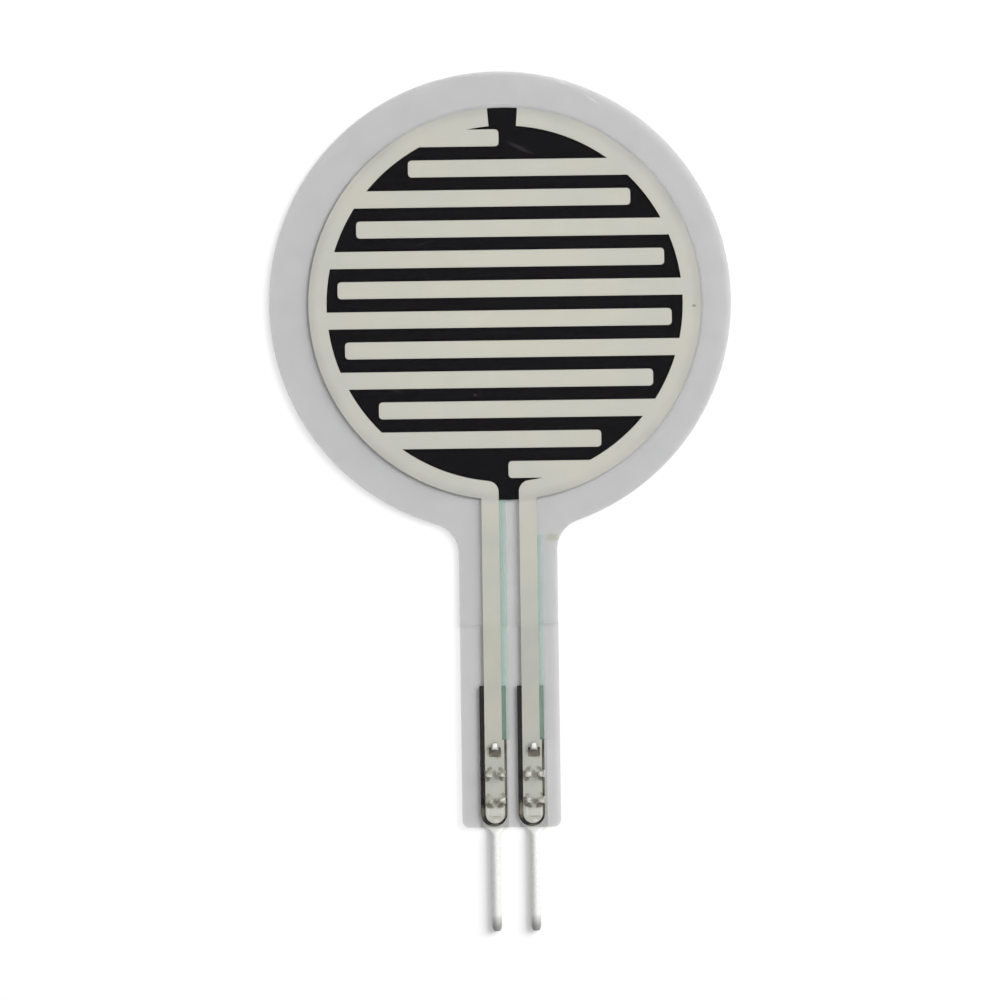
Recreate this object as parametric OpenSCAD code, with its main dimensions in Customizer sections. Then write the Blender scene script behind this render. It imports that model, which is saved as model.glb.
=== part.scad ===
// Round force sensing resistor: two bonded films with inks printed on their inner faces,
// a spacer between them, and two crimped contacts at the end of the tail.
// It lies flat with the sensing side up. The origin is the centre of the print, on the rear
// face. +Z leaves the sensing face and the tail runs along -Y. Sizes are in millimetres.

/* [Sensing area] */
// Diameter of the printed area, for the force ink and the electrodes
active_d = 25.5; // [18:0.1:40]
// Film bonded around the printed area
seal_margin = 2.25; // [1.5:0.05:5]
// How far the cut disc sits to the left of the print
disc_offset = 0.3; // [0:0.05:0.6]
// How far the cut disc sits above the print
disc_lift = 0.08; // [0:0.02:0.4]
// Clearance of the spacer's window around the printed area
window_clearance = 0.15; // [0.05:0.01:0.3]

/* [Electrodes] */
// Width of the half rings that join the fingers
bus_w = 1.18; // [0.6:0.02:2]
// Width of a finger
finger_w = 1.1; // [0.6:0.02:1.6]
// Gap between two fingers
finger_gap = 0.86; // [0.5:0.02:1.5]
// Gap between a finger's tip and the opposite half ring
tip_gap = 0.63; // [0.3:0.01:1]
// Distance of the first finger's tip from the middle
first_tip_x = 0.25; // [0.05:0.01:1]
// Distance of the last finger's tip from the middle
last_tip_x = 0.1; // [0.05:0.01:1]
// Corner radius of a finger's tip
tip_r = 0.25; // [0.05:0.05:0.4]
// Angle of the gap between the half rings at the top
split_deg = 8.8; // [4:0.2:16]
// Radius where a half ring turns into its trace
turn_r = 0.72; // [0.2:0.02:1.2]

/* [Tail] */
// Width of the tail
tail_w = 6.4; // [5.6:0.1:9]
// Length from the centre of the print to the tail's end
tail_len = 34; // [31:0.5:80]
// Radius between the disc and the tail
neck_r = 2; // [0.5:0.1:4]
// Corner radius at the tail's end
end_r = 0.5; // [0.1:0.1:1.5]
// Width of the air channel in the spacer, between the traces
vent_w = 0.5; // [0.2:0.05:0.6]

/* [Traces] */
// Width of a trace
trace_w = 1.13; // [0.6:0.01:1.4]
// Distance between the two traces
trace_pitch = 2.45; // [2.2:0.01:2.8]
// How far the traces sit to the right of the tail's middle
trace_offset = 0.1; // [0:0.01:0.3]
// Film left bare between a trace and the tail's end
trace_end_gap = 0.25; // [0.1:0.05:0.6]
// How much wider a trace gets on its right where the contact crimps it
land_extra = 0.13; // [0.02:0.01:0.2]
// Width of the dielectric beside a trace
dielectric_w = 0.46; // [0.2:0.02:0.56]
// Width of a carbon pad
pad_w = 1.72; // [1.4:0.02:1.9]
// Length of a carbon pad beyond the contact's plate
pad_lead = 3.5; // [0.5:0.1:5]
// Length of bare trace between the rear film and the carbon pads
bare_lead = 3.95; // [0.5:0.05:6]
// How far a carbon pad sits to the left of its trace
pad_offset = 0.01; // [0:0.01:0.15]
// Film left bare between a carbon pad and the tail's end
pad_end_gap = 0.05; // [0.02:0.01:0.1]

/* [Layers] */
// Thickness of the film that carries the electrodes
electrode_film_t = 0.125; // [0.05:0.005:0.25]
// Thickness of the film that carries the force ink
rear_film_t = 0.125; // [0.05:0.005:0.25]
// Thickness of the spacer adhesive
spacer_t = 0.1; // [0.06:0.005:0.2]
// Thickness of each printed ink
ink_t = 0.02; // [0.008:0.002:0.025]
// Clearance between two layers
layer_gap = 0.005; // [0.002:0.001:0.01]

/* [Contacts] */
// Distance between the two pins
pin_pitch = 2.54; // [2.4:0.01:2.8]
// How far the contacts sit to the right of the tail's middle
contact_offset = 0.23; // [0:0.01:0.3]
// Diameter of a pin
pin_d = 0.6; // [0.4:0.02:0.8]
// Length of a pin beyond the film
pin_len = 6.7; // [4:0.1:12]
// Thickness of the contact's sheet metal
contact_t = 0.18; // [0.1:0.01:0.18]
// Width of the plate behind the film
plate_w = 1.7; // [1.5:0.02:1.9]
// Metal of the plate beyond the tongue's curl
plate_lead = 0.16; // [0.06:0.02:0.6]
// Thickness of a tine
tine_t = 0.12; // [0.08:0.01:0.15]
// Width of a tine
tine_w = 0.4; // [0.3:0.05:0.7]
// Radius inside a tine's curl
curl_r = 0.12; // [0.08:0.01:0.2]
// Metal left outside a tine
tine_inset = 0.2; // [0.04:0.01:0.22]
// Distance of the lower tines from the tail's end
lower_tine_y = 1.76; // [1.4:0.02:2]
// Distance between the lower and the upper tines
tine_spacing = 1.69; // [0.8:0.01:2.4]
// Distance between the upper tines and the single tongue
tongue_spacing = 1.65; // [1:0.01:2.4]
// Width of the single tongue
tongue_w = 0.4; // [0.2:0.02:0.5]
// Width of the opening torn in the film around the tongue
tongue_slot_w = 0.76; // [0.6:0.02:0.9]
// Length of that tear, away from the tongue's curl
tongue_tear = 0.44; // [0.1:0.02:0.6]
// Clearance around a tine in what it pierces
pierce_clearance = 0.03; // [0.01:0.01:0.05]

/* [Hidden] */
$fn = 96;

active_r = active_d / 2;
disc_r = active_r + seal_margin;
bus_inner_r = active_r - bus_w;
bus_middle_r = active_r - bus_w / 2;
window_r = active_r + window_clearance;
reach = 2 * disc_r;

finger_pitch = finger_w + finger_gap;
finger_pairs = floor((bus_inner_r - finger_w / 2) / finger_pitch + 0.5);
finger_count = 2 * finger_pairs;
finger_corner_r = min(tip_r, 0.4 * finger_w);

force_ink_z = rear_film_t + layer_gap;
spacer_z = rear_film_t + layer_gap;
print_top_z = spacer_z + spacer_t;
print_z = print_top_z - ink_t;
electrode_film_z = print_top_z + layer_gap;
front_z = electrode_film_z + electrode_film_t;
pad_z = print_z - layer_gap - ink_t;
plate_top_z = pad_z - layer_gap;
plate_z = plate_top_z - contact_t;

pin_r = pin_d / 2;
pin_lift = 0.01;
pin_z = plate_z + pin_r + pin_lift;
pin_end_r = 0.6 * pin_r;
neck_fillet_r = plate_w / 2 - pin_r;
curl_outer_r = curl_r + tine_t;
tine_landing = 0.05;
tine_x = plate_w / 2 - tine_inset;

// Distances from the tail's end.
upper_tine_y = lower_tine_y + tine_spacing;
tongue_y = upper_tine_y + tongue_spacing;
plate_len = tongue_y - tine_t / 2 + 2 * curl_outer_r + plate_lead;
pad_top_y = plate_len + pad_lead;
rear_len = tail_len - pad_top_y - bare_lead;

// A side is -1 for the left and 1 for the right.
function trace_x(side) = side * trace_pitch / 2 + trace_offset;
function contact_x(side) = side * pin_pitch / 2 + contact_offset;
function finger_y(i) = ((finger_count - 1) / 2 - i) * finger_pitch;
function far_row(y) = abs(y) + finger_w / 2;

// How far a finger reaches past the middle, towards the opposite half ring.
function tip_reach(i) =
    i == 0
        ? -first_tip_x
        : i == finger_count - 1
            ? -last_tip_x
            : sqrt(pow(bus_inner_r, 2) - pow(far_row(finger_y(i)), 2)) - tip_gap;

// Outline of the films.

// Fills the corner between the disc and one side of the tail. The fill runs one fillet radius
// into the tail and into the disc, so that only its arc shows.
module neck_fillet(side) {
    wall_x = side * tail_w / 2;
    centre_x = wall_x + side * neck_r;
    from_disc_x = centre_x + disc_offset;
    from_disc_y = -sqrt(pow(disc_r + neck_r, 2) - pow(from_disc_x, 2));
    centre_y = disc_lift + from_disc_y;
    inside = (disc_r - neck_r) / (disc_r + neck_r);
    difference() {
        polygon([
            [centre_x, centre_y],
            [wall_x - side * neck_r, centre_y],
            [-disc_offset + from_disc_x * inside, disc_lift + from_disc_y * inside]
        ]);
        translate([centre_x, centre_y])
            circle(r = neck_r);
    }
}

// What rounds one corner of the tail's end.
module end_corner(side) {
    translate([side * tail_w / 2, -tail_len])
        mirror([side > 0 ? 1 : 0, 0])
            difference() {
                translate([-end_r, -end_r])
                    square(2 * end_r);
                translate([end_r, end_r])
                    circle(r = end_r);
            }
}

// The disc and its tail, as a sheet of one thickness.
module sheet(len, thickness) {
    linear_extrude(thickness) {
        translate([-disc_offset, disc_lift])
            circle(r = disc_r);
        translate([-tail_w / 2, -len])
            square([tail_w, len]);
    }
    for (side = [-1, 1])
        linear_extrude(thickness)
            neck_fillet(side);
}

// What the contacts pierce.

module tine_slots(side) {
    for (flank = [-1, 1], y = [lower_tine_y, upper_tine_y])
        translate([
            contact_x(side) + flank * (tine_x - tine_t / 2),
            y - tail_len
        ])
            square(
                [tine_t + 2 * pierce_clearance, tine_w + 2 * pierce_clearance],
                center = true
            );
}

// The tongue's slot, and how far the film is torn on the side away from its curl.
module tongue_slot(side, w, tear = 0) {
    slot_h = tine_t + 2 * pierce_clearance;
    translate([contact_x(side) - w / 2, tongue_y - tail_len - slot_h / 2 - tear])
        square([w, slot_h + tear]);
}

module torn_slots(side) {
    tine_slots(side);
    tongue_slot(side, tongue_slot_w, tongue_tear);
}

module tight_slots(side) {
    tine_slots(side);
    tongue_slot(side, tongue_w + 2 * pierce_clearance);
}

// Printed electrodes. They are drawn with their own side at +X and mirrored for the left.

module finger(i) {
    tip_x = -tip_reach(i);
    r = finger_corner_r;
    translate([0, finger_y(i)]) {
        translate([tip_x + r, -finger_w / 2])
            square([active_r - tip_x - r, finger_w]);
        translate([tip_x, r - finger_w / 2])
            square([2 * r, finger_w - 2 * r]);
        for (edge = [-1, 1])
            translate([tip_x + r, edge * (finger_w / 2 - r)])
                circle(r = r);
    }
}

module half_ring(inner_x) {
    difference() {
        circle(r = active_r);
        circle(r = bus_inner_r);
        polygon([
            [0, 0],
            [reach * sin(split_deg / 2), reach * cos(split_deg / 2)],
            [-reach, reach],
            [-reach, -reach],
            [inner_x, -reach],
            [inner_x, 0]
        ]);
    }
}

// Cuts the sharp corner between a half ring and its trace back to an arc.
module turn_corner(inner_x) {
    centre_x = inner_x + turn_r;
    centre_y = -sqrt(pow(bus_inner_r + turn_r, 2) - pow(centre_x, 2));
    share = bus_inner_r / (bus_inner_r + turn_r);
    difference() {
        polygon([
            [centre_x, centre_y],
            [inner_x - turn_r, centre_y],
            [inner_x - turn_r, centre_y * share],
            [centre_x * share, centre_y * share]
        ]);
        translate([centre_x, centre_y])
            circle(r = turn_r);
    }
}

// A trace ends in a wider land with a round end. The land stops short of the dielectric.
module trace_bar(side) {
    land_w = trace_w + land_extra;
    land_x = trace_x(side) + land_extra / 2;
    end_y = trace_end_gap - tail_len + land_w / 2;
    translate([trace_x(side) - trace_w / 2, end_y])
        square([trace_w, -bus_middle_r - end_y]);
    translate([land_x - land_w / 2, end_y])
        square([land_w, plate_len - tail_len - layer_gap - end_y]);
    translate([land_x, end_y])
        circle(d = land_w);
}

module electrode(side) {
    inner_x = side * trace_x(side) - trace_w / 2;
    first = side < 0 ? 0 : 1;
    translate([0, 0, print_z])
        linear_extrude(ink_t)
            difference() {
                union() {
                    mirror([side < 0 ? 1 : 0, 0]) {
                        difference() {
                            half_ring(inner_x);
                            turn_corner(inner_x);
                        }
                        intersection() {
                            union() {
                                for (i = [first:2:finger_count - 1])
                                    finger(i);
                            }
                            circle(r = bus_middle_r);
                        }
                    }
                    trace_bar(side);
                }
                torn_slots(side);
            }
}

// The dielectric covers a trace and shows beside it, where it was printed off its mark.
module dielectric(side) {
    start_y = side < 0 ? -active_r : -disc_r;
    end_y = plate_len - tail_len;
    left_x = trace_x(side) + trace_w / 2 + layer_gap;
    translate([left_x, end_y, print_z])
        cube([dielectric_w, start_y - end_y, ink_t]);
}

module carbon_pad(side) {
    end_y = pad_end_gap - tail_len + pad_w / 2;
    translate([0, 0, pad_z])
        linear_extrude(ink_t)
            difference() {
                translate([trace_x(side) - pad_offset, 0]) {
                    translate([-pad_w / 2, end_y])
                        square([pad_w, pad_top_y - tail_len - end_y]);
                    translate([0, end_y])
                        circle(d = pad_w);
                }
                tight_slots(side);
            }
}

module force_ink() {
    translate([0, 0, force_ink_z])
        cylinder(h = ink_t, r = active_r);
}

// The spacer holds the films apart, and gives room to the traces and a way out to the air.
module spacer() {
    groove_w = trace_w + dielectric_w + 3 * layer_gap;
    vent_x = (trace_x(-1) + trace_w / 2 + dielectric_w + trace_x(1) - trace_w / 2) / 2;
    cut_len = rear_len + 1 - bus_inner_r;
    translate([0, 0, spacer_z])
        difference() {
            sheet(rear_len, spacer_t);
            translate([0, 0, -spacer_t / 2])
                cylinder(h = 2 * spacer_t, r = window_r);
            translate([vent_x - vent_w / 2, -rear_len - 1, -spacer_t / 2])
                cube([vent_w, cut_len, 2 * spacer_t]);
            for (side = [-1, 1])
                translate([
                    trace_x(side) - trace_w / 2 - layer_gap,
                    -rear_len - 1,
                    spacer_t - ink_t - layer_gap
                ])
                    cube([groove_w, cut_len, spacer_t]);
        }
}

module rear_film() {
    sheet(rear_len, rear_film_t);
}

module electrode_film() {
    translate([0, 0, electrode_film_z])
        difference() {
            sheet(tail_len, electrode_film_t);
            translate([0, 0, -electrode_film_t / 2])
                linear_extrude(2 * electrode_film_t)
                    for (side = [-1, 1]) {
                        torn_slots(side);
                        end_corner(side);
                    }
        }
}

// Contacts.

// One tine, bent at the origin: its outer face is at x = 0 and it curls towards -X.
// Its section is drawn in x and height.
module tine(w) {
    curl_z = front_z + tine_landing;
    rotate([90, 0, 0])
        linear_extrude(w, center = true) {
            translate([-tine_t, plate_z + contact_t / 2])
                square([tine_t, curl_z - plate_z - contact_t / 2]);
            translate([-curl_outer_r, curl_z])
                difference() {
                    circle(r = curl_outer_r);
                    circle(r = curl_r);
                    translate([-curl_outer_r, -2 * curl_outer_r])
                        square(2 * curl_outer_r);
                }
            translate([-2 * curl_outer_r, front_z + layer_gap])
                square([tine_t, tine_landing - layer_gap]);
        }
}

module plate() {
    shoulder_y = -neck_fillet_r - layer_gap;
    translate([0, 0, plate_z])
        linear_extrude(contact_t) {
            translate([-plate_w / 2, -layer_gap])
                square([plate_w, plate_len + layer_gap]);
            difference() {
                translate([-plate_w / 2, shoulder_y])
                    square([plate_w, neck_fillet_r]);
                for (flank = [-1, 1])
                    translate([flank * plate_w / 2, shoulder_y])
                        circle(r = neck_fillet_r);
            }
        }
}

module pin() {
    root_y = -pin_r - 2 * layer_gap;
    straight_len = pin_len + root_y - pin_end_r;
    translate([0, root_y, pin_z]) {
        sphere(r = pin_r);
        rotate([90, 0, 0])
            cylinder(h = straight_len, r = pin_r);
        translate([0, -straight_len, 0])
            rotate([90, 0, 0])
                cylinder(h = pin_end_r, r1 = pin_r, r2 = pin_r - pin_end_r / 2);
    }
}

module contact(side) {
    translate([contact_x(side), -tail_len, 0]) {
        plate();
        pin();
        for (y = [lower_tine_y, upper_tine_y]) {
            translate([tine_x, y, 0])
                tine(tine_w);
            translate([-tine_x, y, 0])
                mirror([1, 0, 0])
                    tine(tine_w);
        }
        translate([0, tongue_y - tine_t / 2, 0])
            rotate([0, 0, -90])
                tine(tongue_w);
    }
}

color([0.76, 0.76, 0.76, 0.6]) rear_film();
color([0.1, 0.09, 0.1]) force_ink();
color([0.8, 0.8, 0.78, 0.6]) spacer();
color([0.79, 0.79, 0.75]) electrode(-1);  // left_electrode
color([0.79, 0.79, 0.75]) electrode(1);  // right_electrode
color([0.66, 0.74, 0.7]) dielectric(-1);  // left_dielectric
color([0.66, 0.74, 0.7]) dielectric(1);  // right_dielectric
color([0.12, 0.11, 0.11]) carbon_pad(-1);  // left_carbon_pad
color([0.12, 0.11, 0.11]) carbon_pad(1);  // right_carbon_pad
color([0.78, 0.78, 0.79, 0.4]) electrode_film();
color([0.8, 0.8, 0.78]) contact(-1);  // left_contact
color([0.8, 0.8, 0.78]) contact(1);  // right_contact
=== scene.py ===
import math

import bmesh
import bpy
from mathutils import Matrix, Vector


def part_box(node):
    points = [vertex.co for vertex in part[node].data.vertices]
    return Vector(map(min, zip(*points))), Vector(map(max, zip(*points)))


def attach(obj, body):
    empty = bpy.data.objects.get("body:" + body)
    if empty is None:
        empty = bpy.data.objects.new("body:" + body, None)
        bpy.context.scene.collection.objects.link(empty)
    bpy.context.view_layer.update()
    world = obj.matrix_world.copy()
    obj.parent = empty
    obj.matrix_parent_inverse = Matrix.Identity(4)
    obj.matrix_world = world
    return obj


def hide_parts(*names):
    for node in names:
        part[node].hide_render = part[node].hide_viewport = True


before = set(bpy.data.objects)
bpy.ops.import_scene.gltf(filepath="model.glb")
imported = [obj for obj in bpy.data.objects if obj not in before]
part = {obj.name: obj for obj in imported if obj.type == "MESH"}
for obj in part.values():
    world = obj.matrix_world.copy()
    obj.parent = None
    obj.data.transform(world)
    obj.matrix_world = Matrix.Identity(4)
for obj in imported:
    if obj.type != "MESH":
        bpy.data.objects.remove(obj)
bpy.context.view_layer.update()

mm = 0.001


def srgb(text):
    # An sRGB hex value as the linear colour that a shader takes
    channels = [int(text[i:i + 2], 16) / 255 for i in (1, 3, 5)]
    return (*[c / 12.92 if c <= 0.04045 else ((c + 0.055) / 1.055) ** 2.4 for c in channels], 1)


def perMetre(sizeMm):
    # The Scale of a pattern whose marks are this many millimetres wide
    return 1 / (sizeMm * mm)


def addNode(tree, kind, settings=None, links=None):
    # A setting goes to the input of that name or number, and otherwise to the node itself
    node = tree.nodes.new(kind)
    for name, value in (settings or {}).items():
        if isinstance(name, int) or name in node.inputs:
            node.inputs[name].default_value = value
        else:
            setattr(node, name, value)
    for name, source in (links or {}).items():
        tree.links.new(source, node.inputs[name])
    return node


def newMaterial(name, uniform):
    material = bpy.data.materials.new(name)
    material.use_nodes = True
    tree = material.node_tree
    tree.nodes.clear()
    shader = addNode(tree, "ShaderNodeBsdfPrincipled", uniform)
    addNode(tree, "ShaderNodeOutputMaterial", links={"Surface": shader.outputs["BSDF"]})
    place = addNode(tree, "ShaderNodeTexCoord").outputs["Object"]
    return material, tree, shader, place


def mixColour(tree, share, base, over):
    # A colour is an sRGB hex value or another node's output
    settings, links = {"data_type": "RGBA"}, {0: share}
    for slot, colour in ((6, base), (7, over)):
        if isinstance(colour, str):
            settings[slot] = srgb(colour)
        else:
            links[slot] = colour
    return addNode(tree, "ShaderNodeMix", settings, links).outputs[2]


def spotMask(tree, place, spots, raggedness=0.5):
    # Small ellipses with a ragged edge. A spot is its centre and its two half sizes in mm, how
    # far it is turned in degrees, and its strength
    ragged = addNode(tree, "ShaderNodeTexNoise", {"Scale": perMetre(0.2), "Detail": 4},
                     {"Vector": place}).outputs[0]
    together = None
    for x, y, long, wide, turn, strength in spots:
        local = addNode(tree, "ShaderNodeMapping", {
            "vector_type": "TEXTURE", "Location": (x * mm, y * mm, 0),
            "Rotation": (0, 0, math.radians(turn)), "Scale": (long * mm, wide * mm, 1)},
            {"Vector": place})
        away = addNode(tree, "ShaderNodeVectorMath", {"operation": "LENGTH"},
                       {0: local.outputs[0]})
        uneven = addNode(tree, "ShaderNodeMath", {"operation": "MULTIPLY_ADD", 1: raggedness},
                         {0: ragged, 2: away.outputs["Value"]})
        inside = addNode(tree, "ShaderNodeMapRange", {
            "From Min": 0.5 + raggedness / 2, "From Max": 1 + raggedness / 2,
            "To Min": strength, "To Max": 0}, {"Value": uneven.outputs[0]}).outputs[0]
        together = inside if together is None else addNode(
            tree, "ShaderNodeMath", {"operation": "MAXIMUM"}, {0: together, 1: inside}).outputs[0]
    return together


# Where the contacts pierce the films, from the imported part
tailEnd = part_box("electrode_film")[0].y / mm
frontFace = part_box("electrode_film")[1].z / mm
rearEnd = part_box("rear_film")[0].y
contactX = {side: (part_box(side + "_contact")[0].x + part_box(side + "_contact")[1].x) / 2 / mm
            for side in ("left", "right")}


def atContacts(spots):
    # The same spots at both contacts, placed from the contact's middle and the tail's end
    return [(x + dx, tailEnd + dy, *spot) for x in contactX.values() for dx, dy, *spot in spots]


# Polymer thick film silver, screen printed: matt and pale, warmer and lighter in the middle, with
# a faint print of the screen's mesh. Round the tines it is dark, partly ink cracked where the
# tines push through it and partly painted shade of the tines, and near the tail's end it has pale
# patches that are painted highlights where the crimped film catches the light. The mesh is 0.1 mm,
# drawn at 0.2 mm so that it shows
silverPrint = {
    "name": "silver ink, screen printed", "middle": "#e9e9da", "edge": "#e0e1d7", "rim": "#d2d2cb",
    "drift": "#ebe6d6", "driftMm": 4, "grain": "#cfcdc2", "grainMm": 0.12, "meshMm": 0.2,
    "tail": "#d8dacf", "reliefMm": 0.006, "roughness": 0.6, "bruiseAndShade": "#4a4638",
    "speck": (12.29, -0.3, 0.17, 0.09, 0, 0.5),
    # Dark spots round the tines: partly ink cracked by the tines, partly painted shade of the
    # tines
    "bruisesAndShade": ((0, 4.86, 0.56, 0.42, 0, 0.5), (-0.4, 3.8, 0.24, 0.16, 35, 0.5),
                (0.36, 3.78, 0.24, 0.16, -35, 0.5), (-0.04, 3.5, 0.16, 0.3, 0, 0.45),
                (-0.46, 3.12, 0.26, 0.16, 35, 0.6), (0.42, 3.12, 0.26, 0.16, -35, 0.6),
                (-0.4, 1.42, 0.36, 0.2, -25, 0.7), (0.36, 1.42, 0.36, 0.2, 25, 0.7),
                (0, 1.7, 0.18, 0.26, 0, 0.45), (0.5, 2.12, 0.2, 0.14, 0, 0.4),
                (-0.48, 2.1, 0.2, 0.12, 0, 0.35), (0, 0.69, 0.4, 0.06, 0, 0.35)),
    # Pale patches near the tail's end: painted highlights where the crimped film catches the light
    "highlightTint": "#f8f8f2",
    "paintedHighlights": ((0, 0.98, 0.6, 0.34, 0, 0.6), (-0.47, 1, 0.12, 0.4, 0, 0.8),
                 (0.43, 1, 0.12, 0.4, 0, 0.8), (0.05, 0.42, 0.22, 0.13, 0, 0.8)),
}


def silverInk(look):
    material, tree, shader, place = newMaterial(look["name"], {"Specular IOR Level": 0.3})
    out = addNode(tree, "ShaderNodeVectorMath", {"operation": "LENGTH"},
                  {0: place}).outputs["Value"]
    fromMiddle = addNode(tree, "ShaderNodeMapRange", {"From Min": 3 * mm, "From Max": 12 * mm},
                         {"Value": out})
    colour = mixColour(tree, fromMiddle.outputs[0], look["middle"], look["edge"])
    toRim = addNode(tree, "ShaderNodeMapRange", {"From Min": 12.15 * mm, "From Max": 12.6 * mm},
                    {"Value": out})
    pastRim = addNode(tree, "ShaderNodeMapRange", {"From Min": 12.76 * mm, "From Max": 13 * mm,
                                                   "To Min": 1, "To Max": 0}, {"Value": out})
    onRim = addNode(tree, "ShaderNodeMath", {"operation": "MULTIPLY"},
                    {0: toRim.outputs[0], 1: pastRim.outputs[0]})
    colour = mixColour(tree, onRim.outputs[0], colour, look["rim"])
    toTail = addNode(tree, "ShaderNodeMapRange", {"From Min": 13 * mm, "From Max": 15 * mm},
                     {"Value": out})
    colour = mixColour(tree, toTail.outputs[0], colour, look["tail"])
    drift = addNode(tree, "ShaderNodeTexNoise", {"Scale": perMetre(look["driftMm"])},
                    {"Vector": place})
    drifted = addNode(tree, "ShaderNodeMapRange", {"From Min": 0.4, "From Max": 0.7,
                                                   "To Max": 0.6}, {"Value": drift.outputs[0]})
    colour = mixColour(tree, drifted.outputs[0], colour, look["drift"])
    grain = addNode(tree, "ShaderNodeTexNoise", {"Scale": perMetre(look["grainMm"]), "Detail": 4,
                                                 "Roughness": 0.7}, {"Vector": place})
    grained = addNode(tree, "ShaderNodeMapRange", {"From Min": 0.45, "From Max": 0.75,
                                                   "To Max": 0.35}, {"Value": grain.outputs[0]})
    colour = mixColour(tree, grained.outputs[0], colour, look["grain"])
    # Painted highlights near the tail's end, where the crimped film catches the light
    paintedHighlights = spotMask(tree, place, atContacts(look["paintedHighlights"]))
    colour = mixColour(tree, paintedHighlights, colour, look["highlightTint"])
    # Dark spots round the tines, partly cracked ink and partly painted shade of the tines, and a
    # dark speck on the ring
    bruisedAndShaded = spotMask(tree, place, [look["speck"]] + atContacts(look["bruisesAndShade"]), 1.4)
    colour = mixColour(tree, bruisedAndShaded, colour, look["bruiseAndShade"])
    tree.links.new(colour, shader.inputs["Base Color"])
    gloss = addNode(tree, "ShaderNodeMapRange", {"To Min": look["roughness"] - 0.12,
                                                 "To Max": look["roughness"] + 0.12},
                    {"Value": grain.outputs[0]})
    tree.links.new(gloss.outputs[0], shader.inputs["Roughness"])
    # A wave band is a full turn, so its Scale counts 2 pi to the metre
    threads = [addNode(tree, "ShaderNodeTexWave", {
        "bands_direction": way, "Scale": perMetre(look["meshMm"]) / (2 * math.pi)},
        {"Vector": place}).outputs["Fac"] for way in ("X", "Y")]
    mesh = addNode(tree, "ShaderNodeMath", {"operation": "MULTIPLY"},
                   {0: threads[0], 1: threads[1]})
    height = addNode(tree, "ShaderNodeMath", {"operation": "MULTIPLY_ADD", 1: 0.5},
                     {0: mesh.outputs[0], 2: grain.outputs[0]})
    relief = addNode(tree, "ShaderNodeBump", {"Strength": 0.4, "Distance": look["reliefMm"] * mm},
                     {"Height": height.outputs[0]})
    tree.links.new(relief.outputs[0], shader.inputs["Normal"])
    return material


# Carbon ink, screen printed: deep matt black with a trace of violet, fine grain and faint rubs; on
# the contact pads some pale patches near the tail's end are painted highlights where the crimped
# film catches the light
forcePrint = {
    "name": "carbon force ink, screen printed", "colour": "#080609", "grain": "#141116",
    "grainMm": 0.1, "reliefMm": 0.008, "roughness": 0.8, "rubAndHighlight": "#5a565e",
    "rubsAndHighlights": ((1.14, 10.12, 1.1, 0.16, -27, 0.25), (-7.36, -5.41, 0.55, 0.12, -26, 0.4),
             (-2, -5.91, 0.12, 0.12, 0, 0.5), (-5.2, 4, 0.7, 0.05, 20, 0.2)),
}
padPrint = {
    "name": "carbon ink, screen printed", "colour": "#302d2c", "grain": "#46423c",
    "grainMm": 0.1, "reliefMm": 0.008, "roughness": 0.75, "rubAndHighlight": "#948e7c",
    # Pale patches on the pads: partly rubbed ink, and near the tail's end painted highlights where
    # the crimped film catches the light
    "rubsAndHighlights": atContacts(((0, 4.88, 0.6, 0.46, 0, 0.3), (-0.3, 4.68, 0.2, 0.14, 0, 0.5),
                        (0.3, 4.66, 0.18, 0.14, 0, 0.5), (0.66, 3.4, 0.13, 2.3, 0, 0.7),
                        (0.64, 1.1, 0.16, 0.7, 0, 0.5), (0.6, 7.4, 0.34, 2.6, 0, 0.65),
                        (-0.84, 0.95, 0.16, 0.5, 0, 0.5), (0, 0.1, 0.7, 0.14, 0, 0.5)))
    + [(contactX["right"] - 0.86, tailEnd + 1.2, 0.16, 0.6, 0, 1)],
}


def carbonInk(look):
    material, tree, shader, place = newMaterial(look["name"], {"Specular IOR Level": 0.1})
    grain = addNode(tree, "ShaderNodeTexNoise", {"Scale": perMetre(look["grainMm"]), "Detail": 5,
                                                 "Roughness": 0.7}, {"Vector": place})
    grained = addNode(tree, "ShaderNodeMapRange", {"From Min": 0.4, "From Max": 0.75,
                                                   "To Max": 0.6}, {"Value": grain.outputs[0]})
    colour = mixColour(tree, grained.outputs[0], look["colour"], look["grain"])
    # Pale rubs; on the pads some are painted highlights near the tail's end
    colour = mixColour(tree, spotMask(tree, place, look["rubsAndHighlights"], 1.2), colour, look["rubAndHighlight"])
    tree.links.new(colour, shader.inputs["Base Color"])
    gloss = addNode(tree, "ShaderNodeMapRange", {"To Min": look["roughness"] - 0.1,
                                                 "To Max": look["roughness"] + 0.1},
                    {"Value": grain.outputs[0]})
    tree.links.new(gloss.outputs[0], shader.inputs["Roughness"])
    relief = addNode(tree, "ShaderNodeBump", {"Strength": 0.4, "Distance": look["reliefMm"] * mm},
                     {"Height": grain.outputs[0]})
    tree.links.new(relief.outputs[0], shader.inputs["Normal"])
    return material


# UV cured dielectric, screen printed: a thin pale green glaze that thins out away from the trace
dielectricPrint = {
    "name": "dielectric ink, UV cured", "colour": "#b6e6d0", "thin": "#c8ecdf", "blotchMm": 1.2,
    "roughness": 0.45, "solid": {"left": 0.24, "right": 0.28}, "patchiness": 0.08,
    "fade": {"left": (0.18, 0.85, 0.25), "right": (0.16, 0.42, 0)},
}


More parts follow.
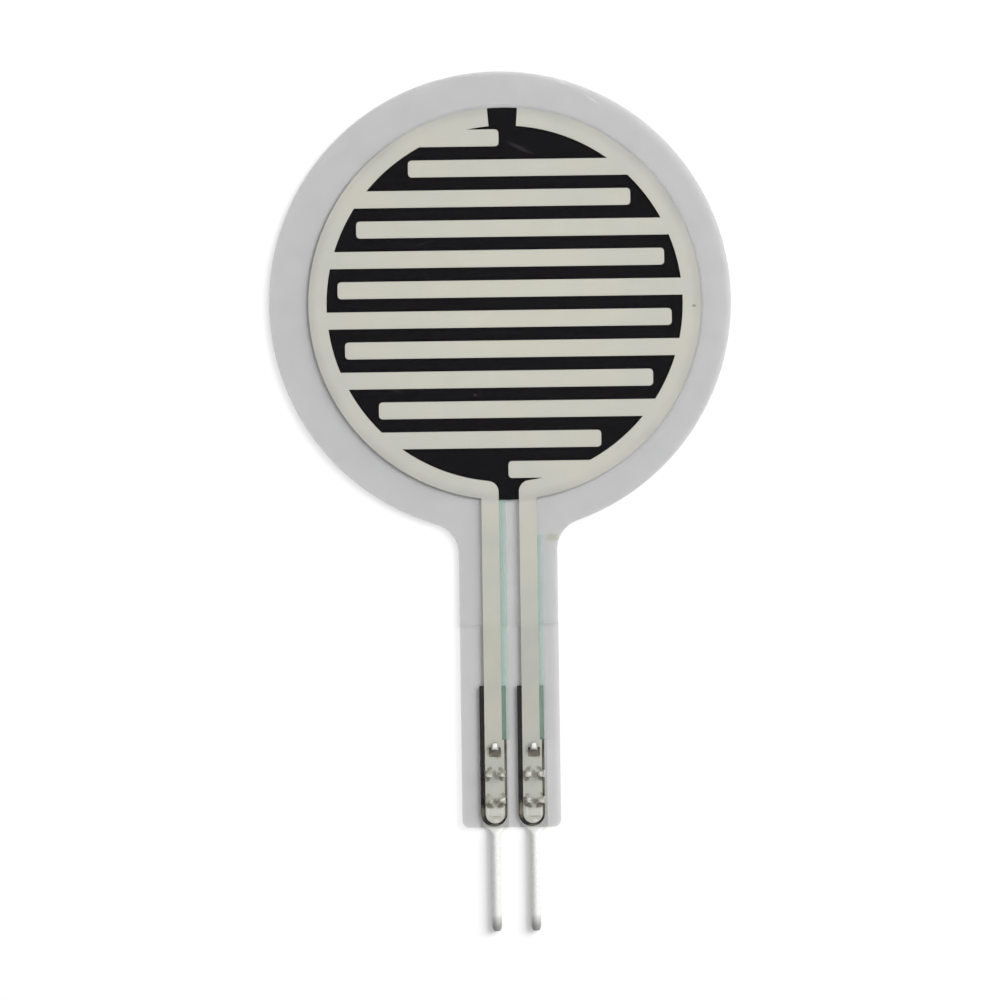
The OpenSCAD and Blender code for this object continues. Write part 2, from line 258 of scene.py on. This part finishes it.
def dielectricInk(side, look):
    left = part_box(side + "_dielectric")[0].x
    start, end, rest = look["fade"][side]
    material, tree, shader, place = newMaterial(f"{look['name']}, {side}",
                                                {"Roughness": look["roughness"]})
    across = addNode(tree, "ShaderNodeSeparateXYZ", links={"Vector": place})
    fade = addNode(tree, "ShaderNodeMapRange", {
        "From Min": left + start * mm, "From Max": left + end * mm, "To Min": 1, "To Max": rest},
        {"Value": across.outputs["X"]})
    blotch = addNode(tree, "ShaderNodeTexNoise", {"Scale": perMetre(look["blotchMm"])},
                     {"Vector": place})
    tree.links.new(mixColour(tree, blotch.outputs[0], look["colour"], look["thin"]),
                   shader.inputs["Base Color"])
    thick = look["solid"][side]
    patchy = addNode(tree, "ShaderNodeMapRange", {"To Min": thick - look["patchiness"],
                                                  "To Max": thick + look["patchiness"]},
                     {"Value": blotch.outputs[0]})
    solid = addNode(tree, "ShaderNodeMath", {"operation": "MULTIPLY"},
                    {0: fade.outputs[0], 1: patchy.outputs[0]})
    tree.links.new(solid.outputs[0], shader.inputs["Alpha"])
    return material


# Polyester film, biaxially stretched: clear and slightly smoky, faintly wavy, with a cut edge
# that lets less light through than the faces do
frontFilm = {
    "name": "polyester film, stretched, front", "colour": "#0c0c0d", "edgeColour": "#6a6a6a",
    "solid": 0.147, "edgeSolid": 0.16, "waveMm": 5, "waveDepthMm": 0.02, "hazeMm": 1.5,
    "roughness": 0.18, "specular": 0.13, "tailSolid": 0.016, "mark": "#e8e8e8", "markSolid": 0.25,
    "marks": ((3.99, 14.27, 0.35, 0.12, -20, 0.5), (5.89, 13.14, 0.6, 0.12, -34, 0.5)),
}
backFilm = dict(frontFilm, name="polyester film, stretched, back", colour="#f0f0f1", solid=0.05,
                edgeColour="#c8c8c8", edgeSolid=0.12, tailSolid=0, marks=())
# Acrylic adhesive on both faces of a carrier, die cut: clear and dull, yellow where it gathers
adhesive = dict(frontFilm, name="acrylic adhesive, die cut", colour="#eeeeee", solid=0.12,
                edgeColour="#c8c8c8", edgeSolid=0.15, tailSolid=0, roughness=0.6, mark="#d6d8a6",
                markSolid=0.25, marks=((2.96, -15.19, 0.6, 0.36, 0, 0.7),))


def clearSheet(look):
    material, tree, shader, place = newMaterial(look["name"], {
        "IOR": 1.57, "Specular IOR Level": look["specular"]})
    outward = addNode(tree, "ShaderNodeTexCoord").outputs["Normal"]
    upright = addNode(tree, "ShaderNodeSeparateXYZ", links={"Vector": outward}).outputs["Z"]
    flat = addNode(tree, "ShaderNodeMath", {"operation": "ABSOLUTE"}, {0: upright})
    edge = addNode(tree, "ShaderNodeMath", {"operation": "LESS_THAN", 1: 0.5},
                   {0: flat.outputs[0]}).outputs[0]
    haze = addNode(tree, "ShaderNodeTexNoise", {"Scale": perMetre(look["hazeMm"]), "Detail": 4},
                   {"Vector": place})
    colour = mixColour(tree, edge, look["colour"], look["edgeColour"])
    hazy = addNode(tree, "ShaderNodeMapRange", {"To Min": look["solid"] - 0.01,
                                                "To Max": look["solid"] + 0.01},
                   {"Value": haze.outputs[0]})
    along = addNode(tree, "ShaderNodeSeparateXYZ", links={"Vector": place}).outputs["Y"]
    bare = addNode(tree, "ShaderNodeMapRange", {"From Min": rearEnd + 0.4 * mm,
                                                "From Max": rearEnd - 0.4 * mm,
                                                "To Max": look["tailSolid"]}, {"Value": along})
    hazy = addNode(tree, "ShaderNodeMath", {}, {0: hazy.outputs[0], 1: bare.outputs[0]})
    solid = addNode(tree, "ShaderNodeMix", {3: look["edgeSolid"]},
                    {0: edge, 2: hazy.outputs[0]}).outputs[0]
    if look["marks"]:
        marks = spotMask(tree, place, look["marks"])
        colour = mixColour(tree, marks, colour, look["mark"])
        solid = addNode(tree, "ShaderNodeMix", {3: look["markSolid"]},
                        {0: marks, 2: solid}).outputs[0]
    tree.links.new(colour, shader.inputs["Base Color"])
    tree.links.new(solid, shader.inputs["Alpha"])
    gloss = addNode(tree, "ShaderNodeMapRange", {"To Min": look["roughness"] - 0.06,
                                                 "To Max": look["roughness"] + 0.06},
                    {"Value": haze.outputs[0]})
    tree.links.new(gloss.outputs[0], shader.inputs["Roughness"])
    wave = addNode(tree, "ShaderNodeTexNoise", {"Scale": perMetre(look["waveMm"]), "Detail": 1},
                   {"Vector": place})
    relief = addNode(tree, "ShaderNodeBump", {"Strength": 0.3,
                                              "Distance": look["waveDepthMm"] * mm},
                     {"Height": wave.outputs[0]})
    tree.links.new(relief.outputs[0], shader.inputs["Normal"])
    return material


# Matt tin over phosphor bronze, plated and stamped: bright and cool, rubbed smooth in patches,
# with painted shade low down on the crimped tines next to the film, and greyer towards the pins'
# ends
tinPlate = {
    "name": "tin plated bronze, stamped", "colour": "#eaeae9", "dull": "#dcdcd9",
    # Brownish grey for the painted shade low down on the crimped tines
    "grainMm": 0.15, "reliefMm": 0.006, "roughness": 0.86, "plateDulling": 0.02, "paintedShade": "#5f5b4e",
    "tip": "#a8a8a6",
    "tarnish": "#a39f8e", "tarnishMm": 0.25,
}


def tinnedMetal(look):
    material, tree, shader, place = newMaterial(look["name"], {"Metallic": 1.0})
    grain = addNode(tree, "ShaderNodeTexNoise", {"Scale": perMetre(look["grainMm"]), "Detail": 5},
                    {"Vector": place})
    colour = mixColour(tree, grain.outputs[0], look["colour"], look["dull"])
    at = addNode(tree, "ShaderNodeSeparateXYZ", links={"Vector": place}).outputs
    low = addNode(tree, "ShaderNodeMapRange", {"From Min": (frontFace + 0.06) * mm,
                                               "From Max": (frontFace + 0.2) * mm,
                                               "To Min": 0.85, "To Max": 0}, {"Value": at["Z"]})
    onTail = addNode(tree, "ShaderNodeMath", {"operation": "GREATER_THAN",
                                              1: (tailEnd + 0.05) * mm}, {0: at["Y"]})
    overFilm = addNode(tree, "ShaderNodeMath", {"operation": "GREATER_THAN",
                                                1: (frontFace - 0.05) * mm}, {0: at["Z"]})
    crimped = addNode(tree, "ShaderNodeMath", {"operation": "MULTIPLY"},
                      {0: onTail.outputs[0], 1: overFilm.outputs[0]})
    stain = addNode(tree, "ShaderNodeTexNoise", {"Scale": perMetre(look["tarnishMm"])},
                    {"Vector": place})
    stained = addNode(tree, "ShaderNodeMapRange", {"From Min": 0.4, "From Max": 0.6,
                                                   "To Min": 0.25, "To Max": 0.9},
                      {"Value": stain.outputs[0]})
    onTines = addNode(tree, "ShaderNodeMapRange", {"From Min": (tailEnd + 4) * mm,
                                                   "From Max": (tailEnd + 4.4) * mm,
                                                   "To Min": 1, "To Max": 0}, {"Value": at["Y"]})
    tarnished = addNode(tree, "ShaderNodeMath", {"operation": "MULTIPLY"},
                        {0: stained.outputs[0], 1: onTines.outputs[0]})
    tarnished = addNode(tree, "ShaderNodeMath", {"operation": "MULTIPLY"},
                        {0: tarnished.outputs[0], 1: crimped.outputs[0]})
    colour = mixColour(tree, tarnished.outputs[0], colour, look["tarnish"])
    # Painted shade: the crimped tines darken low down next to the film, so that only the top of
    # each curl stays bright
    shadedLow = addNode(tree, "ShaderNodeMath", {"operation": "MULTIPLY"},
                    {0: low.outputs[0], 1: crimped.outputs[0]})
    colour = mixColour(tree, shadedLow.outputs[0], colour, look["paintedShade"])
    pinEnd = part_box("left_contact")[0].y
    # Greyer towards the pins' ends
    towardsPinEnd = addNode(tree, "ShaderNodeMapRange", {"From Min": pinEnd + 0.3 * mm,
                                                "From Max": pinEnd + 1.1 * mm,
                                                "To Min": 1, "To Max": 0}, {"Value": at["Y"]})
    colour = mixColour(tree, towardsPinEnd.outputs[0], colour, look["tip"])
    tree.links.new(colour, shader.inputs["Base Color"])
    gloss = addNode(tree, "ShaderNodeMapRange", {"To Min": look["roughness"] - 0.1,
                                                 "To Max": look["roughness"] + 0.12},
                    {"Value": grain.outputs[0]})
    onPlate = addNode(tree, "ShaderNodeMapRange", {"From Min": 0.19 * mm, "From Max": 0.25 * mm,
                                                   "To Min": look["plateDulling"], "To Max": 0},
                      {"Value": at["Z"]})
    gloss = addNode(tree, "ShaderNodeMath", {}, {0: gloss.outputs[0], 1: onPlate.outputs[0]})
    tree.links.new(gloss.outputs[0], shader.inputs["Roughness"])
    relief = addNode(tree, "ShaderNodeBump", {"Strength": 0.3, "Distance": look["reliefMm"] * mm},
                     {"Height": grain.outputs[0]})
    tree.links.new(relief.outputs[0], shader.inputs["Normal"])
    return material


silver = silverInk(silverPrint)
pads = carbonInk(padPrint)
tin = tinnedMetal(tinPlate)
finishes = {
    "electrode_film": clearSheet(frontFilm), "rear_film": clearSheet(backFilm),
    "spacer": clearSheet(adhesive), "force_ink": carbonInk(forcePrint),
    "left_electrode": silver, "right_electrode": silver,
    "left_dielectric": dielectricInk("left", dielectricPrint),
    "right_dielectric": dielectricInk("right", dielectricPrint),
    "left_carbon_pad": pads, "right_carbon_pad": pads,
    "left_contact": tin, "right_contact": tin,
}
for name, material in finishes.items():
    slots = part[name].data.materials
    slots.clear()
    slots.append(material)
print("finishes on", len(finishes), "CAD nodes")

# Crimped contacts, in millimetres. Heights are from the rear face and rows from the tail's end
contactShape = {
    "sheet": 0.18, "plateWidth": 1.7, "pinRadius": 0.3, "pinHeight": 0.31, "pinSides": 32,
    "neckLength": 0.55, "neckSteps": 12, "tineThickness": 0.12, "tineWidth": 0.4, "tipShare": 0.6,
    "tineInset": 0.2, "tineRows": (1.76, 3.45), "tongueRow": 5.1, "tongueWidth": 0.4,
    "curlRadius": 0.12, "curlSteps": 10, "landing": 0.05, "tipGap": 0.006, "edgeRadius": 0.025,
}


def growFace(form, face):
    # Extrudes one face, and gives its new corners and the new face
    grown = bmesh.ops.extrude_face_region(form, geom=[face])["geom"]
    bmesh.ops.delete(form, geom=[face], context="FACES_ONLY")
    corners = [v for v in grown if isinstance(v, bmesh.types.BMVert)]
    return corners, [f for f in grown if isinstance(f, bmesh.types.BMFace)][0]


def bentTine(form, shape, width, at, turn):
    # A strip pushed up out of the plate and turned over inwards in steps, while it narrows
    thick, rootZ = shape["tineThickness"], shape["sheet"] / 2
    curlZ = frontFace + shape["landing"]
    root = bmesh.ops.create_grid(form, x_segments=1, y_segments=1, size=0.5)["verts"]
    bmesh.ops.scale(form, vec=(thick, width, 1), verts=root)
    bmesh.ops.translate(form, vec=(-thick / 2, 0, rootZ), verts=root)
    made, face = list(root), root[0].link_faces[0]
    foot = bmesh.ops.duplicate(form, geom=[face])["geom"]
    made += [v for v in foot if isinstance(v, bmesh.types.BMVert)]
    corners, face = growFace(form, face)
    made += corners
    bmesh.ops.translate(form, vec=(0, 0, curlZ - rootZ), verts=corners)
    step = Matrix.Rotation(-math.pi / shape["curlSteps"], 3, "Y")
    narrower = shape["tipShare"] ** (1 / shape["curlSteps"])
    for i in range(shape["curlSteps"]):
        corners, face = growFace(form, face)
        made += corners
        bmesh.ops.rotate(form, cent=(-shape["curlRadius"] - thick, 0, curlZ), matrix=step,
                         verts=corners)
        bmesh.ops.scale(form, vec=(1, narrower, 1), verts=corners)
    corners, face = growFace(form, face)
    made += corners
    bmesh.ops.translate(form, vec=(0, 0, shape["tipGap"] - shape["landing"]), verts=corners)
    bmesh.ops.rotate(form, cent=(0, 0, 0), matrix=Matrix.Rotation(math.radians(turn), 3, "Z"),
                     verts=made)
    bmesh.ops.translate(form, vec=at, verts=made)
    bmesh.ops.remove_doubles(form, verts=made, dist=0.0001)


def rolledPin(form, shape, x, pinEnd):
    # The neck narrows on an arc while it rolls up from the flat plate into a round pin
    half, neck, r = shape["sheet"] / 2, shape["neckLength"], shape["pinRadius"]
    wide = shape["plateWidth"] / 2
    stations = [(tailEnd + 0.1, wide - 0.02, half - 0.01, half)]
    for i in range(shape["neckSteps"] + 1):
        t = i / shape["neckSteps"]
        rolled = t * t * (3 - 2 * t)
        stations.append((tailEnd - neck * (1 - math.cos(t * math.pi / 2)),
                         wide - neck * math.sin(t * math.pi / 2),
                         half + (r - half) * rolled, half + (shape["pinHeight"] - half) * rolled))
    for back, share in ((0.36, 1), (0.2, 0.94), (0.08, 0.84), (0.02, 0.72), (0, 0.6)):
        stations.append((pinEnd + back, r * share, r * share, shape["pinHeight"]))
    ring = bmesh.ops.create_circle(form, cap_ends=True, radius=1,
                                   segments=shape["pinSides"])["verts"]
    bmesh.ops.rotate(form, cent=(0, 0, 0), matrix=Matrix.Rotation(math.pi / 2, 3, "X"),
                     verts=ring)
    face = ring[0].link_faces[0]
    lid = bmesh.ops.duplicate(form, geom=[face])["geom"]
    made = list(ring) + [v for v in lid if isinstance(v, bmesh.types.BMVert)]
    corners, wasY, wasWidth, wasHeight, wasZ = list(made), 0, 1, 1, 0
    for i, (y, halfWidth, halfHeight, z) in enumerate(stations):
        if i:
            corners, face = growFace(form, face)
            made += corners
        bmesh.ops.translate(form, vec=(0, -wasY, -wasZ), verts=corners)
        bmesh.ops.scale(form, vec=(halfWidth / wasWidth, 1, halfHeight / wasHeight),
                        verts=corners)
        bmesh.ops.translate(form, vec=(0, y, z), verts=corners)
        wasY, wasWidth, wasHeight, wasZ = y, halfWidth, halfHeight, z
    bmesh.ops.translate(form, vec=(x, 0, 0), verts=made)
    bmesh.ops.remove_doubles(form, verts=made, dist=0.0001)


def crimpedContact(side, shape):
    node = side + "_contact"
    low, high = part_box(node)
    x, plateTop, pinEnd = contactX[side], high.y / mm, low.y / mm
    form = bmesh.new()
    plate = bmesh.ops.create_cube(form, size=1)["verts"]
    bmesh.ops.scale(form, vec=(shape["plateWidth"], plateTop - tailEnd, shape["sheet"]),
                    verts=plate)
    bmesh.ops.translate(form, vec=(x, (plateTop + tailEnd) / 2, shape["sheet"] / 2), verts=plate)
    flank = shape["plateWidth"] / 2 - shape["tineInset"]
    for row in shape["tineRows"]:
        bentTine(form, shape, shape["tineWidth"], (x + flank, tailEnd + row, 0), 0)
        bentTine(form, shape, shape["tineWidth"], (x - flank, tailEnd + row, 0), 180)
    bentTine(form, shape, shape["tongueWidth"],
             (x, tailEnd + shape["tongueRow"] - shape["tineThickness"] / 2, 0), -90)
    sharp = [e for e in form.edges if len(e.link_faces) == 2 and e.calc_face_angle() > 0.7]
    bmesh.ops.bevel(form, geom=sharp, offset=shape["edgeRadius"], segments=2, profile=0.5,
                    affect="EDGES", material=-1)
    rolledPin(form, shape, x, pinEnd)
    bmesh.ops.recalc_face_normals(form, faces=form.faces)
    bmesh.ops.scale(form, vec=(mm, mm, mm), verts=form.verts)
    mesh = bpy.data.meshes.new(side + "_crimped_contact")
    form.to_mesh(mesh)
    form.free()
    mesh.shade_smooth()
    mesh.set_sharp_from_angle(angle=math.radians(50))
    mesh.materials.append(tin)
    piece = bpy.data.objects.new(mesh.name, mesh)
    bpy.context.scene.collection.objects.link(piece)
    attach(piece, "root")
    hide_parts(node)
    print(piece.name, "made with", len(mesh.polygons), "faces")


for side in ("left", "right"):
    crimpedContact(side, contactShape)

# Matt white table top
floorLook = {"colour": "#e6e6e6", "halfM": 1.5, "gapMm": 0.02}
floorForm = bmesh.new()
bmesh.ops.create_grid(floorForm, x_segments=1, y_segments=1, size=floorLook["halfM"])
bmesh.ops.translate(floorForm, vec=(0, 0, -floorLook["gapMm"] * mm), verts=floorForm.verts)
floorMesh = bpy.data.meshes.new("floor")
floorForm.to_mesh(floorMesh)
floorForm.free()
floorMesh.materials.append(newMaterial("floor, matt white", {
    "Base Color": srgb(floorLook["colour"]), "Roughness": 0.9, "Specular IOR Level": 0.0})[0])
floor = bpy.data.objects.new("floor", floorMesh)
bpy.context.scene.collection.objects.link(floor)

# White room, brighter overhead, with one large soft lamp low at the upper right
lightLook = {
    "wall": 0.22, "ceiling": 1.2, "ceilingFrom": 0.3, "lampWatts": 4.5, "lampTurn": 28,
    "lampRise": 35, "lampDistance": 0.6, "lampSize": 0.4,
}
scene = bpy.context.scene
scene.world = bpy.data.worlds.new("studio")
scene.world.use_nodes = True
sky = scene.world.node_tree
heading = addNode(sky, "ShaderNodeTexCoord").outputs["Generated"]
up = addNode(sky, "ShaderNodeSeparateXYZ", links={"Vector": heading}).outputs["Z"]
glow = addNode(sky, "ShaderNodeMapRange", {"From Min": lightLook["ceilingFrom"],
                                           "To Min": lightLook["wall"],
                                           "To Max": lightLook["ceiling"]}, {"Value": up})
sky.nodes["Background"].inputs["Color"].default_value = (1, 1, 1, 1)
sky.links.new(glow.outputs[0], sky.nodes["Background"].inputs["Strength"])

lampData = bpy.data.lights.new("lamp", "AREA")
lampData.size = lightLook["lampSize"]
lampData.energy = lightLook["lampWatts"]
lamp = bpy.data.objects.new("lamp", lampData)
scene.collection.objects.link(lamp)
turn, rise = math.radians(lightLook["lampTurn"]), math.radians(lightLook["lampRise"])
lamp.location = Vector((math.cos(turn) * math.cos(rise), math.sin(turn) * math.cos(rise),
                        math.sin(rise))) * lightLook["lampDistance"]
lamp.rotation_euler = (math.pi / 2 - rise, 0, turn + math.pi / 2)

# The camera looks straight down, as in the photograph
cameraLook = {"lens": 100, "sensor": 36, "frameMm": 64.935, "centreMm": (-0.477, -12.748, 0.25),
              "turn": -0.8}
cameraData = bpy.data.cameras.new("camera")
cameraData.lens = cameraLook["lens"]
cameraData.sensor_width = cameraLook["sensor"]
cameraData.clip_start = 0.01
camera = bpy.data.objects.new("camera", cameraData)
scene.collection.objects.link(camera)
heightMm = cameraLook["frameMm"] * cameraLook["lens"] / cameraLook["sensor"]
camera.location = (Vector(cameraLook["centreMm"]) + Vector((0, 0, heightMm))) * mm
camera.rotation_euler = (0, 0, math.radians(cameraLook["turn"]))
scene.camera = camera
scene.view_settings.view_transform = "Standard"
# A ray goes down through three clear sheets and back up, which is more than the usual limit
scene.cycles.transparent_max_bounces = 32
